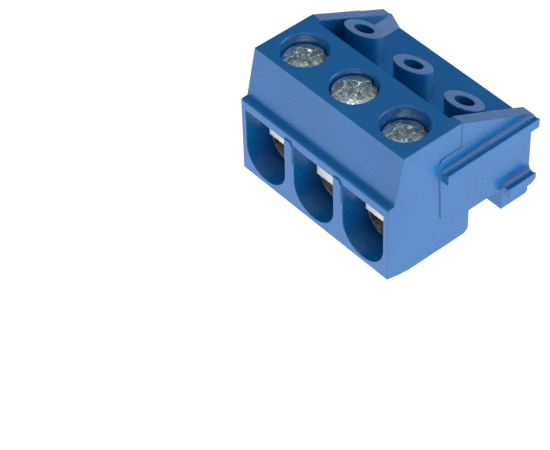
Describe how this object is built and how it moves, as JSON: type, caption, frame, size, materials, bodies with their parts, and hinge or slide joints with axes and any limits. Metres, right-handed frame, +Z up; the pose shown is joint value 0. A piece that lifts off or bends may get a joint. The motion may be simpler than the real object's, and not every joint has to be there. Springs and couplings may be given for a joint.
{
  "type": "pluggable screw terminal block",
  "caption": "Pluggable screw terminal block: blue housing with side ribs and grooves, test-probe tubes, slotted screws, rising wire clamps and tin-plated contacts",
  "frame": {"origin": "in the plane of the mating face, at the level of the underside, on the middle pole's centre line", "axes": "X along the row of poles towards the grooved end, Y from the mating face to the wire face, Z up, the way a driver is pulled out of the screws"},
  "size_m": [0.0159, 0.0136, 0.0109],
  "materials": {
    "housing": "satin",
    "screw": "zinc plated",
    "cage": "nickel plated",
    "contact": "tin plated"
  },
  "bodies": {
    "block": {"housing": "housing", "contact_1": "contact", "contact_2": "contact", "contact_3": "contact"},
    "screw_1": {"screw_1": "screw"},
    "screw_2": {"screw_2": "screw"},
    "screw_3": {"screw_3": "screw"},
    "clamp_cage_1": {"clamp_cage_1": "cage"},
    "clamp_cage_2": {"clamp_cage_2": "cage"},
    "clamp_cage_3": {"clamp_cage_3": "cage"}
  },
  "joints": [
    {"name": "screw_1_turn", "type": "hinge", "parent": "block", "child": "screw_1", "pos_m": [-0.00508, 0.0097, 0.0086], "axis": [0, 0, -1], "range_deg": [-152.1, 1104.1]},
    {"name": "clamp_cage_1_lift", "type": "slide", "parent": "block", "child": "clamp_cage_1", "axis": [0, 0, 1], "range_m": [-0.00019, 0.00138]},
    {"name": "screw_2_turn", "type": "hinge", "parent": "block", "child": "screw_2", "pos_m": [0, 0.0097, 0.0086], "axis": [0, 0, -1], "range_deg": [-152.1, 880.1]},
    {"name": "clamp_cage_2_lift", "type": "slide", "parent": "block", "child": "clamp_cage_2", "axis": [0, 0, 1], "range_m": [-0.00019, 0.0011]},
    {"name": "screw_3_turn", "type": "hinge", "parent": "block", "child": "screw_3", "pos_m": [0.00508, 0.0097, 0.0086], "axis": [0, 0, -1], "range_deg": [-152.1, 1104.1]},
    {"name": "clamp_cage_3_lift", "type": "slide", "parent": "block", "child": "clamp_cage_3", "axis": [0, 0, 1], "range_m": [-0.00019, 0.00138]}
  ],
  "couplings": [
    {"joint": "screw_1_turn", "follows": "clamp_cage_1_lift", "rad_per_m": 13963},
    {"joint": "screw_2_turn", "follows": "clamp_cage_2_lift", "rad_per_m": 13963},
    {"joint": "screw_3_turn", "follows": "clamp_cage_3_lift", "rad_per_m": 13963}
  ]
}
